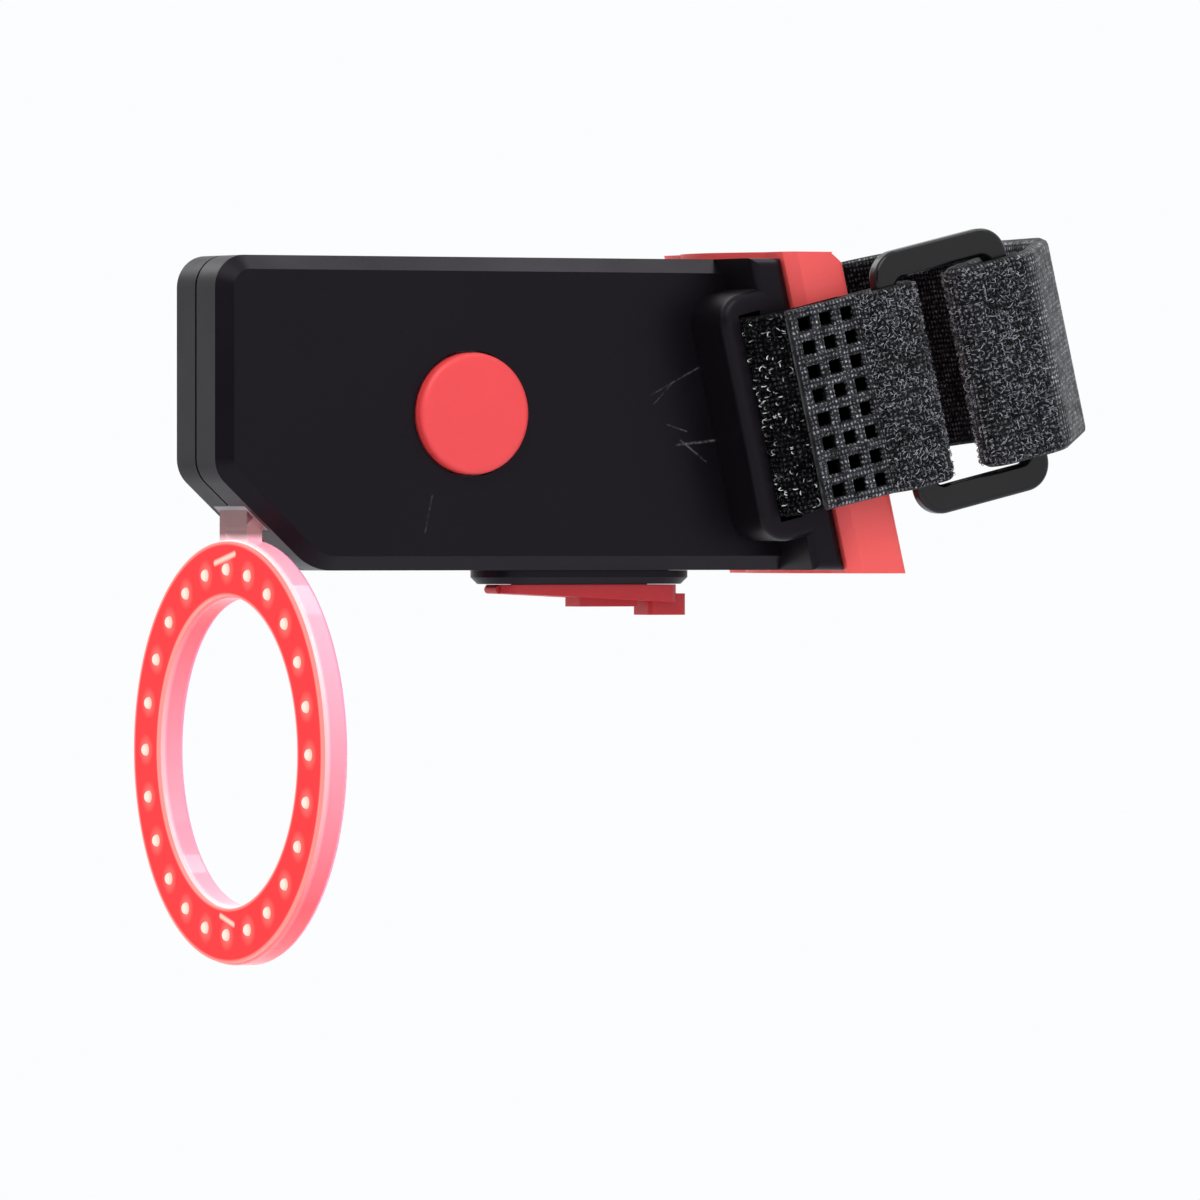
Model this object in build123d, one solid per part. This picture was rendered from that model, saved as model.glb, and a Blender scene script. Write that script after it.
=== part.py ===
"""A rechargeable bike rear light that straps to a seat post.

A flat black body reaches back from the post. A clear ring that glows red hangs under its rear end, a red
button is on its near side, and a charging port is underneath. A rubber saddle sits against the post, and a
hook-and-loop strap goes through the body's head, round the post and back through a plastic buckle.

Millimetres. +X points forward to the post, -Y is the button's side, +Z is up. The origin is on the post's
axis at the body's mid-height. The post leans back, so its parts are drawn in a frame of their own: there x
is forward, y is to the far side, and z is along the post.
"""
from build123d import *
import math
import os

# Seat post that the light is made for
post_r = 12.7
post_tilt = 13.3

# Body
body_reach = 67.5
body_height = 27.5
body_width = 10.0
body_bevel = 1.25
body_corner_r = 2.8
rear_cut_x = 9.4
rear_cut_z = 8.5
rear_cut_r = 5.0
wall = 1.4
seam_width = 0.3
seam_depth = 0.25

# Head that holds the strap
head_width = 22.0
head_back = 14.6
head_front = 11.6
head_edge_r = 0.9
lug_back = 18.85
lug_end = 1.85
lug_corner_r = 2.7
lug_rim = 1.7
web = 3.1

# Rubber saddle against the post
pad_wall = 1.25
pad_gap = 0.05
pad_wing_width = 24.4
pad_tip = 6.4
pad_bevel = 0.8
pad_tip_r = 0.5
pad_corner_cut = 1.0
pad_over_top = 0.6
pad_over_bottom = 0.3

# Strap
strap_width = 18.0
strap_thick = 1.5
strap_rise = 3.6
strap_gap = 0.05
slot_gap = 0.35
strap_bend_r = 1.6
strap_end = 8.2
pad_strap_gap = 0.1
turn_r = 1.45
strap_over_gap = 0.15
stand_off_x = 9.4
stand_off_y = 9.0
stand_off_r = 3.0
outer_gap = 0.4
tail_end = 5.0
leave_angle = 62.0
hook_patch_thick = 0.3
hook_patch_angle = 40.0

# Strap tab round the buckle's rear bar
tab_thick = 0.9
tab_start = 14.2
tab_gap = 0.05
tab_end_gap = 0.2
tab_slope_start = 7.2
tab_slope_end = 5.8
tab_fold = 1.8
tab_fold_r = 1.2
tab_slope_r = 1.0

# Buckle
buckle_length = 13.6
buckle_strap_gap = 0.4
buckle_thick = 1.6
buckle_back = 5.2
buckle_bar = 2.0
buckle_side_bar = 2.5
buckle_rise = 1.35
buckle_corner_r = 2.5
buckle_inner_r = 0.8
buckle_edge_r = 0.45

# Light guide
ring_r = 18.6
ring_band = 5.15
ring_thick = 2.16
ring_edge_r = 0.3
ring_overlap = 2.75
ring_inset = 3.0
stem_width = 5.3
stem_thick = 1.5
tongue_width = 6.2
tongue_rise = 4.35
tongue_length = 4.2
dot_count = 24
dot_inset = 2.65
dot_r = 0.55
dot_depth = 0.9
face_thick = 0.3
face_inset = 0.2
seal_wall = 0.45
seal_reach = 7.35

# Button
button_x = 24.4
button_r = 5.35
button_proud = 1.2
button_edge_r = 0.6
button_gap = 0.2
button_flange_r = 6.3
button_flange = 0.5
button_boss_r = 1.3
button_travel = 0.35
seal_lip = 0.1
seal_seat_r = 6.7
seal_seat_depth = 0.6

# Circuit board and what is on it
board_thick = 0.8
board_y = -0.6
board_rear = 60.0
board_front = 26.7
board_roof_gap = 2.35
board_floor_gap = 6.15
board_tab_gap = 2.15
switch_side = 4.6
switch_thick = 1.0
plunger_r = 0.9
plunger_proud = 0.5
plunger_sunk = 0.4
plunger_gap = 0.06
press_gap = 0.03
chip_side = 4.0
chip_thick = 0.8
controller_drop_share = 2.35
charger_length = 3.0
charger_width = 1.7
charger_thick = 0.9
charger_rise_share = 0.9
small_length = 1.6
small_width = 0.8
small_thick = 0.5
small_pitch = 2.2
small_count = 6

# Light source
led_board_length = 5.4
led_board_width = 6.4
led_board_thick = 0.6
led_length = 1.5
led_width = 1.1
led_thick = 0.5
led_pitch = 2.0
led_count = 3
led_gap = 0.08

# Battery
cell_length = 29.0
cell_thick = 2.8
cell_corner_r = 1.2
cell_gap = 0.08
cell_front = 27.0
cell_edge_gap = 0.45
cell_over_socket = 1.2
foam_inset = 2.0
wire_r = 0.35
wire_gap = 0.08
wire_pitch = 1.6
wire_run = 2.6

# Charging port
port_x = 29.7
bezel_length = 20.8
bezel_width = 7.0
bezel_thick = 1.2
bezel_draft = 0.6
collar_length = 16.0
collar_width = 5.2
bore_length = 13.4
bore_width = 4.0
bore_r = 1.2
port_gap = 0.1
socket_length = 7.5
socket_width = 2.6
socket_depth = 5.0
socket_wall = 0.3
socket_sunk = 0.85
socket_corner = 0.7
tongue_piece_length = 4.6
tongue_piece_thick = 0.6
tongue_piece_depth = 3.4
contact_count = 5
contact_pitch = 0.65
contact_width = 0.3
contact_thick = 0.12
plug_length = 17.8
plug_width = 5.4
plug_rear_thick = 0.75
plug_front_thick = 1.6
plug_corner_r = 1.6
plug_insert_length = 12.8
plug_insert_width = 3.4
plug_insert_depth = 0.9
plug_gap = 0.05
tab_length = 3.7
tab_thick_z = 1.1
tab_overhang = 1.0
tab_corner_r = 0.6
grip_length = 5.8
grip_forward = 2.225
grip_thick = 0.35

# Screws that hold the two shells together
screw_r = 0.8
screw_head_r = 1.5
screw_head = 0.9
screw_length = 6.4
screw_sunk = 0.4
screw_gap = 0.05
boss_r = 2.0
boss_merge = 0.5
recess_length = 1.8
recess_width = 0.45
recess_depth = 0.5
overrun = 1.0

# Places that several pieces share
half_h = body_height / 2
half_w = body_width / 2
inner_w = half_w - wall
seal_top = -half_h + seal_reach
tongue_top = seal_top + tongue_rise
ring_top = half_h - ring_overlap
board_top = half_h - board_roof_gap
board_bottom = -half_h + board_floor_gap
board_tab_bottom = -half_h + board_tab_gap
rear_x = -body_reach
seat_r = post_r + pad_wall + pad_gap
strap_x = -(lug_back - lug_rim - slot_gap - strap_thick / 2)
ring_x = rear_x + ring_inset + face_thick
stem_x = ring_x + ring_thick / 2
ring_z = -(ring_top + ring_r)
ring_hole_r = ring_r - ring_band
dot_circle_r = ring_r - dot_inset
slot_height = strap_width + 2 * slot_gap
lug_height = slot_height + 2 * lug_end
near_strap_y = pad_wing_width / 2 + pad_strap_gap + strap_thick / 2
buckle_y = near_strap_y + buckle_rise
buckle_height = strap_width + 2 * (buckle_strap_gap + buckle_side_bar)
over_buckle_y = buckle_y + buckle_thick / 2 + strap_over_gap + strap_thick / 2
socket_mouth = -half_h + socket_sunk
socket_top = socket_mouth + socket_depth
cell_top = half_h - wall - cell_edge_gap
cell_height = cell_top - socket_top - cell_over_socket
plug_top = -half_h - bezel_thick - port_gap / 4 - plug_gap
hinge_r = plug_rear_thick / 2
hinge_x = -port_x - plug_length / 2 + hinge_r
hinge_z = plug_top - hinge_r - plug_gap
button_centre_x = rear_x + button_x
screw_z = half_h - wall - boss_r + boss_merge
screw_places = [
    (rear_x + wall + boss_r + screw_head, screw_z),
    (rear_x + rear_cut_x + boss_r + boss_r, -screw_z),
    (-(lug_back + web + boss_r + screw_sunk), screw_z),
    (-(lug_back + wall), -screw_z),
]

post = Plane(
    origin=(0, 0, 0),
    x_dir=(math.cos(math.radians(post_tilt)), 0, math.sin(math.radians(post_tilt))),
    z_dir=(-math.sin(math.radians(post_tilt)), 0, math.cos(math.radians(post_tilt))),
)
side = Plane(origin=(0, 0, 0), x_dir=(1, 0, 0), z_dir=(0, -1, 0))
long_run = body_reach * 2


def on_post(shape):
    """Moves a shape drawn in the post's frame to its place."""
    return post.location * shape


def block(x0, x1, y0, y1, z0, z1):
    """A box between two corners."""
    return Pos((x0 + x1) / 2, (y0 + y1) / 2, (z0 + z1) / 2) * Box(
        abs(x1 - x0), abs(y1 - y0), abs(z1 - z0)
    )


def thick_side(face, y0, y1):
    """Extrudes a face drawn in X and Z from y0 to y1."""
    return Pos(0, y1, 0) * extrude(side * face, y1 - y0)


def pin_y(x, z, r, y0, y1):
    """A round pin along Y."""
    return Pos(x, (y0 + y1) / 2, z) * Rot(90, 0, 0) * Cylinder(r, y1 - y0)


def rounded_block(length, width, height, corner):
    """An upright block with rounded corners, standing on z = 0."""
    return extrude(RectangleRounded(length, width, corner), height)


def body_outline():
    """Side outline of the body, with its rounded corners and the rear corner cut off."""
    points = [
        (rear_x, half_h),
        (0, half_h),
        (0, -half_h),
        (rear_x + rear_cut_x, -half_h),
        (rear_x, -half_h + rear_cut_z),
    ]
    face = make_face(Polyline(*points, close=True))
    lower = face.vertices().sort_by_distance((rear_x + rear_cut_x, -half_h, 0))[0]
    face = fillet(lower, rear_cut_r)
    rear = face.vertices().group_by(Axis.X)[0]
    return fillet(rear, body_corner_r)


def cavity_outline():
    """Side outline of the hollow for the circuit board and the battery."""
    inner = offset(body_outline(), -wall)
    stop = Pos(-(lug_back - lug_rim + web) + long_run / 2, 0) * Rectangle(long_run, long_run)
    stop = Rot(0, 0, post_tilt) * stop
    return inner - stop


def head_solid():
    """Wide head of the body, with a lug that frames the mouth of the strap's slot."""
    full = block(-head_back, 0, -head_width / 2, head_width / 2, -body_height, body_height)
    lug = RectangleRounded(lug_back, lug_height, lug_corner_r)
    lug = Pos(-lug_back / 2, 0) * lug
    lug = Pos(0, head_width / 2, strap_rise) * extrude(side * lug, head_width)
    return on_post(full + lug)


def shell_body():
    """Both shells as one solid, hollow, with every hole and seat."""
    outer = thick_side(body_outline(), -half_w, half_w)
    rims = outer.faces().sort_by(Axis.Y)
    outer = chamfer(rims[0].edges() + rims[-1].edges(), body_bevel)
    head = head_solid() & block(-long_run, 0, -head_width, head_width, -half_h, half_h)
    seat = extrude(Circle(seat_r), long_run, both=True)
    front = block(-head_front, long_run, -head_width, head_width, -long_run, long_run)
    head -= on_post(seat + front)
    outer -= on_post(seat + front)
    edges = head.faces().sort_by(Axis.Y)
    head = fillet(edges[0].edges() + edges[-1].edges(), head_edge_r)
    body = outer + head
    slot = block(
        strap_x - strap_thick / 2 - slot_gap,
        strap_x + strap_thick / 2 + slot_gap,
        -head_width,
        head_width,
        strap_rise - slot_height / 2,
        strap_rise + slot_height / 2,
    )
    body -= on_post(slot)
    cavity = thick_side(cavity_outline(), -inner_w, inner_w)
    for x, z in screw_places:
        cavity -= pin_y(x, z, boss_r, -half_w, half_w)
    body -= cavity
    seam = body_outline() - offset(body_outline(), -seam_depth)
    body -= thick_side(seam, -seam_width / 2, seam_width / 2)
    body -= gasket_groove(seam_width)
    body -= stem_hole(seal_wall)
    body -= port_hole(port_gap)
    for x, z in screw_places:
        body -= pin_y(x, z, screw_r + screw_gap, -inner_w, half_w)
        head_seat = half_w - screw_sunk - screw_head
        body -= pin_y(x, z, screw_head_r + screw_gap, head_seat - screw_gap, half_w + overrun)
    body -= pin_y(button_centre_x, 0, button_r + button_gap, -half_w - overrun, 0)
    body -= pin_y(button_centre_x, 0, seal_seat_r, -inner_w - seal_seat_depth, 0)
    return body


def gasket_groove(grow):
    """The gasket's loop round the hollow, cut where the stem and the port go through."""
    loop = offset(cavity_outline(), wall * 2 / 3) - offset(cavity_outline(), wall / 3)
    loop = thick_side(loop, -seam_width - grow / 2, seam_width + grow / 2)
    return loop


def stem_hole(grow):
    """Room for the light guide's stem, and for a rubber sleeve round it if grow is its wall."""
    room = block(
        stem_x - stem_thick / 2 - grow,
        stem_x + stem_thick / 2 + grow,
        -stem_width / 2 - grow,
        stem_width / 2 + grow,
        -half_h,
        seal_top,
    )
    return room


def port_hole(grow):
    """Room for the port's collar through the floor of the body."""
    room = rounded_block(collar_length + 2 * grow, collar_width + 2 * grow, wall + overrun, bore_r)
    return Pos(-port_x, 0, -half_h - overrun / 2) * room


def half(body, near):
    """One shell of the two."""
    span = (-head_width, 0) if near else (0, head_width)
    return body & block(-long_run, long_run, span[0], span[1], -long_run, long_run)


def shell_seal():
    """Rubber gasket between the shells."""
    seal = gasket_groove(-2 * strap_gap)
    seal -= stem_hole(seal_wall + strap_gap)
    seal -= port_hole(port_gap + strap_gap)
    return seal


def light_guide():
    """Clear ring with its dimples, stem and tongue, moulded in one."""
    ring = Cylinder(ring_r, ring_thick) - Cylinder(ring_hole_r, ring_thick)
    ring = fillet(ring.edges(), ring_edge_r)
    dimple = Cone(dot_r, 0, dot_depth, align=(Align.CENTER, Align.CENTER, Align.MIN))
    for spot in PolarLocations(dot_circle_r, dot_count):
        ring -= spot * Pos(0, 0, -ring_thick / 2) * dimple
    ring = Pos(stem_x, 0, ring_z) * Rot(0, 90, 0) * ring
    stem_foot = ring_z + (ring_r + ring_hole_r) / 2
    stem = block(
        stem_x - stem_thick / 2,
        stem_x + stem_thick / 2,
        -stem_width / 2,
        stem_width / 2,
        stem_foot,
        tongue_top,
    )
    tongue = block(
        stem_x - stem_thick / 2,
        stem_x + stem_thick / 2,
        -tongue_width / 2,
        tongue_width / 2,
        tongue_top - tongue_length,
        tongue_top,
    )
    return ring + stem + tongue


def ring_face():
    """Thin red face on the back of the ring, with a hole over each dimple."""
    face = Circle(ring_r - face_inset) - Circle(ring_hole_r + face_inset)
    for spot in PolarLocations(dot_circle_r, dot_count):
        face -= spot * Circle(dot_r)
    plate = extrude(face, face_thick)
    return Pos(ring_x - face_thick, 0, ring_z) * Rot(0, 90, 0) * plate


def guide_seal():
    """Rubber sleeve round the stem, cut flush with the sloping face."""
    sleeve = stem_hole(seal_wall - strap_gap) - stem_hole(strap_gap)
    return sleeve & thick_side(body_outline(), -half_w, half_w)


def power_button():
    """Round button with its neck, flange and the boss that presses the switch."""
    cap = pin_y(button_centre_x, 0, button_r, -half_w - button_proud, -inner_w)
    cap = fillet(cap.faces().sort_by(Axis.Y)[0].edges(), button_edge_r)
    flange = pin_y(button_centre_x, 0, button_flange_r, -inner_w, -inner_w + button_flange)
    boss_end = board_y - switch_thick - plunger_proud - press_gap
    boss = pin_y(button_centre_x, 0, button_boss_r, -inner_w, boss_end)
    return Pos(0, seal_lip, 0) * (cap + flange) + boss


def button_seal():
    """Rubber ring round the button's neck."""
    y1 = -inner_w + strap_gap - seal_lip / 2
    y0 = -inner_w - seal_seat_depth + strap_gap
    ring = pin_y(button_centre_x, 0, seal_seat_r - strap_gap, y0, y1)
    return ring - pin_y(button_centre_x, 0, button_r + seal_lip, y0 - overrun, y1 + overrun)


def switch_body():
    """Housing of the push switch, with the well that its plunger slides in."""
    y0 = board_y - switch_thick
    half_side = switch_side / 2
    body = block(
        button_centre_x - half_side, button_centre_x + half_side, y0, board_y, -half_side, half_side
    )
    depth = plunger_sunk + button_travel + strap_gap
    return body - pin_y(button_centre_x, 0, plunger_r + plunger_gap, y0 - overrun, y0 + depth)


def switch_plunger():
    """Round plunger of the push switch."""
    y0 = board_y - switch_thick
    return pin_y(button_centre_x, 0, plunger_r, y0 - plunger_proud, y0 + plunger_sunk)


def circuit_board():
    """Board with a tab that reaches down to the charging socket."""
    main = block(-board_rear, -board_front, board_y, board_y + board_thick, board_bottom, board_top)
    half_tab = socket_length / 2 + board_thick * 2
    tab = block(
        -port_x - half_tab, -board_front, board_y, board_y + board_thick, board_tab_bottom, 0
    )
    notch = block(
        -port_x - socket_length / 2 - strap_gap,
        -port_x + socket_length / 2 + strap_gap,
        -half_w,
        half_w,
        -half_h,
        socket_top + strap_gap,
    )
    return main + tab - notch


def on_board(x, z, length, height, thick):
    """A flat component on the button's side of the board."""
    return block(
        x - length / 2, x + length / 2, board_y - thick, board_y, z - height / 2, z + height / 2
    )


def controller_chip():
    """Chip that runs the light."""
    x = button_centre_x + button_flange_r + chip_side
    z = board_top - chip_side * controller_drop_share
    return on_board(x, z, chip_side, chip_side, chip_thick)


def charger_chip():
    """Chip that charges the cell."""
    x = -port_x - charger_width
    z = board_bottom + chip_side * charger_rise_share
    return on_board(x, z, charger_length, charger_width, charger_thick)


def board_components():
    """Small resistors and capacitors in one row."""
    row = []
    first = button_centre_x - button_flange_r - small_width
    for n in range(small_count):
        x = first - small_width * 2 if n % 2 else first
        z = (n - (small_count - 1) / 2) * small_pitch
        row.append(on_board(x, z, small_width, small_length, small_thick))
    return Compound(children=row)


def led_board_z():
    """Height of the lamp board's lower face."""
    return tongue_top + led_gap + led_thick


def led_board():
    """Small board over the tongue of the light guide."""
    x1 = -board_rear - small_width / 4
    z0 = led_board_z()
    half_b = led_board_width / 2
    return block(x1 - led_board_length, x1, -half_b, half_b, z0, z0 + led_board_thick)


def leds():
    """Red lamps that shine down into the tongue."""
    row = []
    z1 = led_board_z()
    for n in range(led_count):
        y = (n - (led_count - 1) / 2) * led_pitch
        lamp = Box(led_width, led_length, led_thick)
        row.append(Pos(stem_x, y, z1 - led_thick / 2) * lamp)
    return Compound(children=row)


def battery_cell():
    """Pouch cell against the far side of the board."""
    cell = RectangleRounded(cell_length, cell_height, cell_corner_r)
    cell = Pos(-cell_front - cell_length / 2, cell_top - cell_height / 2) * cell
    y0 = board_y + board_thick + cell_gap
    return thick_side(cell, y0, y0 + cell_thick)


def battery_pad():
    """Foam pad that holds the cell down."""
    pad = Rectangle(cell_length - 2 * foam_inset, cell_height - 2 * foam_inset)
    pad = Pos(-cell_front - cell_length / 2, cell_top - cell_height / 2) * pad
    y0 = board_y + board_thick + cell_gap + cell_thick
    return thick_side(pad, y0, inner_w - cell_gap / 2) - screw_clear()


def screw_clear():
    """Room round the screw bosses."""
    room = Part()
    for x, z in screw_places:
        room += pin_y(x, z, boss_r + cell_gap, -half_w, half_w)
    return room


def wire(points, bend):
    """A round insulated wire along its route."""
    route = FilletPolyline(*points, radius=bend)
    section = Plane(origin=route @ 0, z_dir=route % 0) * Circle(wire_r)
    return sweep(section, path=route)


def battery_wires():
    """Two wires from the cell's lower edge to the board."""
    pair = []
    y0 = board_y + board_thick + cell_gap + cell_thick / 2
    z0 = cell_top - cell_height - wire_gap
    for n in range(2):
        x = -cell_front - cell_length / 2 + (n - 0.5) * wire_pitch * 2
        x1 = x - wire_run
        points = [(x, y0, z0), (x, y0, z0 - wire_run / 2), (x1, y0, z0 - wire_run / 2)]
        pair.append(wire(points, wire_r * 3))
    return Compound(children=pair)


def led_wires():
    """Two wires from the lamp board to the main board."""
    pair = []
    z0 = led_board_z() + led_board_thick + wire_r + wire_gap / 2
    y = board_y + board_thick + wire_gap + wire_r
    x0 = -board_rear - led_board_length / 2
    for n in range(2):
        z = z0
        yn = y + n * wire_pitch / 2
        x1 = -board_rear + wire_run / 2
        points = [(x0, yn, z), (x1, yn, z), (x1, yn, z + wire_run)]
        pair.append(wire(points, wire_r * 3))
    return Compound(children=pair)


def port_bezel():
    """Frame round the charging port, with the collar that goes through the floor."""
    flange = SlotOverall(bezel_length, bezel_width)
    flange = extrude(flange, bezel_thick)
    low = flange.faces().sort_by(Axis.Z)[0]
    flange = chamfer(low.edges(), bezel_draft)
    collar = rounded_block(collar_length, collar_width, bezel_thick + wall, bore_r)
    bore = rounded_block(bore_length, bore_width, bezel_thick + wall + 2 * overrun, bore_r)
    frame = flange + collar - Pos(0, 0, -overrun) * bore
    return Pos(-port_x, 0, -half_h - bezel_thick - port_gap / 4) * frame


def usb_socket():
    """Metal shell of the charging socket, open at its mouth."""
    outline = Rectangle(socket_length, socket_width)
    outline = chamfer(outline.vertices().group_by(Axis.Y)[0], socket_corner)
    inner = offset(outline, -socket_wall)
    shell = extrude(outline, socket_depth)
    shell -= extrude(inner, socket_depth - socket_wall)
    return Pos(-port_x, 0, socket_mouth) * shell


def usb_tongue():
    """Insulating tongue inside the socket."""
    x0 = -port_x - tongue_piece_length / 2
    z1 = socket_top - socket_wall
    half_t = tongue_piece_thick / 2
    return block(x0, x0 + tongue_piece_length, -half_t, half_t, z1 - tongue_piece_depth, z1)


def usb_contacts():
    """Spring contacts on the socket's tongue."""
    row = []
    z1 = socket_top - socket_wall
    y0 = tongue_piece_thick / 2
    for n in range(contact_count):
        x = -port_x + (n - (contact_count - 1) / 2) * contact_pitch
        row.append(
            block(
                x - contact_width / 2,
                x + contact_width / 2,
                y0,
                y0 + contact_thick,
                z1 - tongue_piece_depth,
                z1,
            )
        )
    return Compound(children=row)


def port_plug():
    """Rubber cover that hinges on the bead at its rear end, with its insert and pull tab."""
    top = plug_top
    x1 = -port_x + plug_length / 2
    wedge = [
        (hinge_x, top),
        (x1, top),
        (x1, top - plug_front_thick),
        (hinge_x, top - plug_rear_thick),
    ]
    flap = thick_side(make_face(Polyline(*wedge, close=True)), -plug_width / 2, plug_width / 2)
    flap = fillet(flap.edges().filter_by(Axis.Z), plug_corner_r)
    grip_x = -port_x + grip_forward
    low = top - plug_front_thick - grip_thick
    grip = block(
        grip_x - grip_length / 2, grip_x + grip_length / 2, -plug_width / 4, plug_width / 4, low, top
    )
    tab_low = top - plug_front_thick - tab_thick_z
    tab = block(
        x1 + tab_overhang - tab_length, x1 + tab_overhang, -plug_width / 3, plug_width / 3, tab_low,
        top - plug_front_thick / 2,
    )
    tab = fillet(tab.edges().filter_by(Axis.Z), tab_corner_r)
    insert = rounded_block(
        plug_insert_length, plug_insert_width, plug_insert_depth + plug_gap, bore_r
    )
    insert = Pos(-port_x, 0, top) * insert
    half_bead = plug_width / 2 - plug_corner_r
    bead = pin_y(hinge_x, hinge_z, hinge_r, -half_bead, half_bead)
    return flap + grip + tab + insert + bead


def post_pad():
    """Rubber saddle that grips the post, with a wing on each side of the head."""
    flank = pad_wing_width / 2
    back = -head_front + pad_gap
    inner_flank = head_width / 2
    wing = [
        (back, 0),
        (back, inner_flank),
        (back + pad_bevel, flank),
        (-pad_tip, flank),
        (-pad_tip, 0),
    ]
    wings = make_face(Polyline(*wing, close=True))
    tip = wings.vertices().sort_by_distance((-pad_tip, flank, 0))[0]
    wings = fillet(tip, pad_tip_r)
    wings += mirror(wings, about=Plane.XZ)
    saddle = Circle(seat_r - pad_gap) & (Pos(-head_width / 2, 0) * Rectangle(head_width, head_width))
    saddle -= Pos(-pad_tip + head_width / 2, 0) * Rectangle(head_width, head_width * 2)
    outline = wings + saddle - Circle(post_r)
    pad = on_post(extrude(outline, long_run, both=True))
    low = -half_h - pad_over_bottom
    high = half_h + pad_over_top
    pad = pad & block(-long_run, long_run, -head_width, head_width, low, high)
    corner_x = -(pad_tip + high * math.sin(math.radians(post_tilt))) / math.cos(math.radians(post_tilt))
    cut_side = pad_corner_cut * math.sqrt(2)
    cut = Rot(0, 45 - post_tilt / 2, 0) * Box(cut_side, long_run, cut_side)
    return pad - Pos(corner_x, 0, high) * cut


def ribbon(route, thick):
    """A flat strap of one width along a route drawn in the post's frame."""
    start = route @ 0
    way = route % 0
    section = Plane(origin=start, x_dir=(0, 0, 1), z_dir=way)
    section = section * Rectangle(strap_width, thick)
    return on_post(Pos(0, 0, strap_rise) * sweep(section, path=route))


def polar(r, angle):
    """A point at a radius and an angle from straight ahead."""
    return (r * math.cos(math.radians(angle)), r * math.sin(math.radians(angle)))


def strap():
    """The long strap: through the head, round the post, round the buckle's front bar and back."""
    mid_r = post_r + strap_gap + strap_thick / 2
    outer_r = mid_r + strap_thick + outer_gap
    leave = polar(mid_r, -leave_angle)
    heading = (-math.sin(math.radians(leave_angle)), -math.cos(math.radians(leave_angle)))
    run = (over_buckle_y + leave[1]) / -heading[1]
    corner = (leave[0] + heading[0] * run, -over_buckle_y)
    first = FilletPolyline(
        (-strap_end, -near_strap_y),
        (strap_x, -near_strap_y),
        (strap_x, mid_r),
        (0, mid_r),
        radius=strap_bend_r,
    )
    around = JernArc((0, mid_r), (1, 0), mid_r, -90 - leave_angle)
    second = FilletPolyline(
        leave,
        corner,
        (stand_off_x, -over_buckle_y),
        (outer_r, -stand_off_y),
        (outer_r, 0),
        radius=(turn_r, stand_off_r, stand_off_r),
    )
    back = JernArc((outer_r, 0), (0, 1), outer_r, 90)
    tail = Line((0, outer_r), (-tail_end, outer_r))
    route = Wire([*first.edges(), *around.edges(), *second.edges(), *back.edges(), *tail.edges()])
    return ribbon(route, strap_thick)


def strap_hook_patch():
    """Hook patch under the strap's end, on the far side."""
    mid_r = post_r + strap_gap + strap_thick + outer_gap / 2
    start = polar(mid_r, hook_patch_angle)
    turn = 90 - hook_patch_angle
    way = (-math.sin(math.radians(hook_patch_angle)), math.cos(math.radians(hook_patch_angle)))
    around = JernArc(start, way, mid_r, turn)
    tail = Line((0, mid_r), (-tail_end, mid_r))
    route = Wire([*around.edges(), *tail.edges()])
    return ribbon(route, hook_patch_thick)


def strap_tab():
    """Short strap piece round the buckle's rear bar, welded on the long strap."""
    on_strap_y = near_strap_y + strap_thick / 2 + tab_gap + tab_thick / 2
    outer_y = buckle_y + buckle_thick / 2 + tab_gap + tab_thick / 2
    inner_y = buckle_y - buckle_thick / 2 - tab_gap - tab_thick / 2
    route = FilletPolyline(
        (-tab_start, -on_strap_y),
        (-tab_slope_start, -on_strap_y),
        (-tab_slope_end, -outer_y),
        (-tab_fold, -outer_y),
        (-tab_fold, -inner_y),
        (-strap_end + tab_end_gap, -inner_y),
        radius=(tab_slope_r, tab_slope_r, tab_fold_r, tab_fold_r),
    )
    return ribbon(Wire(route.edges()), tab_thick)


def buckle():
    """Rectangular plastic ring."""
    frame = RectangleRounded(buckle_length, buckle_height, buckle_corner_r)
    window = RectangleRounded(
        buckle_length - 2 * buckle_bar, buckle_height - 2 * buckle_side_bar, buckle_inner_r
    )
    ring = Pos(buckle_length / 2 - buckle_back, 0) * (frame - window)
    y1 = -buckle_y + buckle_thick / 2
    ring = Pos(0, y1, strap_rise) * extrude(side * ring, buckle_thick)
    rims = ring.faces().sort_by(Axis.Y)
    ring = fillet(rims[0].edges() + rims[-1].edges(), buckle_edge_r)
    return on_post(ring)


def housing_screws():
    """Small cross-head screws from the far side."""
    row = []
    for x, z in screw_places:
        y1 = half_w - screw_sunk
        shank = pin_y(x, z, screw_r, y1 - screw_length, y1 - screw_head)
        screw = shank + pin_y(x, z, screw_head_r, y1 - screw_head, y1)
        arm = recess_length
        low = y1 - recess_depth
        wide = block(x - arm / 2, x + arm / 2, low, y1, z - recess_width / 2, z + recess_width / 2)
        tall = block(x - recess_width / 2, x + recess_width / 2, low, y1, z - arm / 2, z + arm / 2)
        row.append(screw - wide - tall)
    return Compound(children=row)


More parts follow.
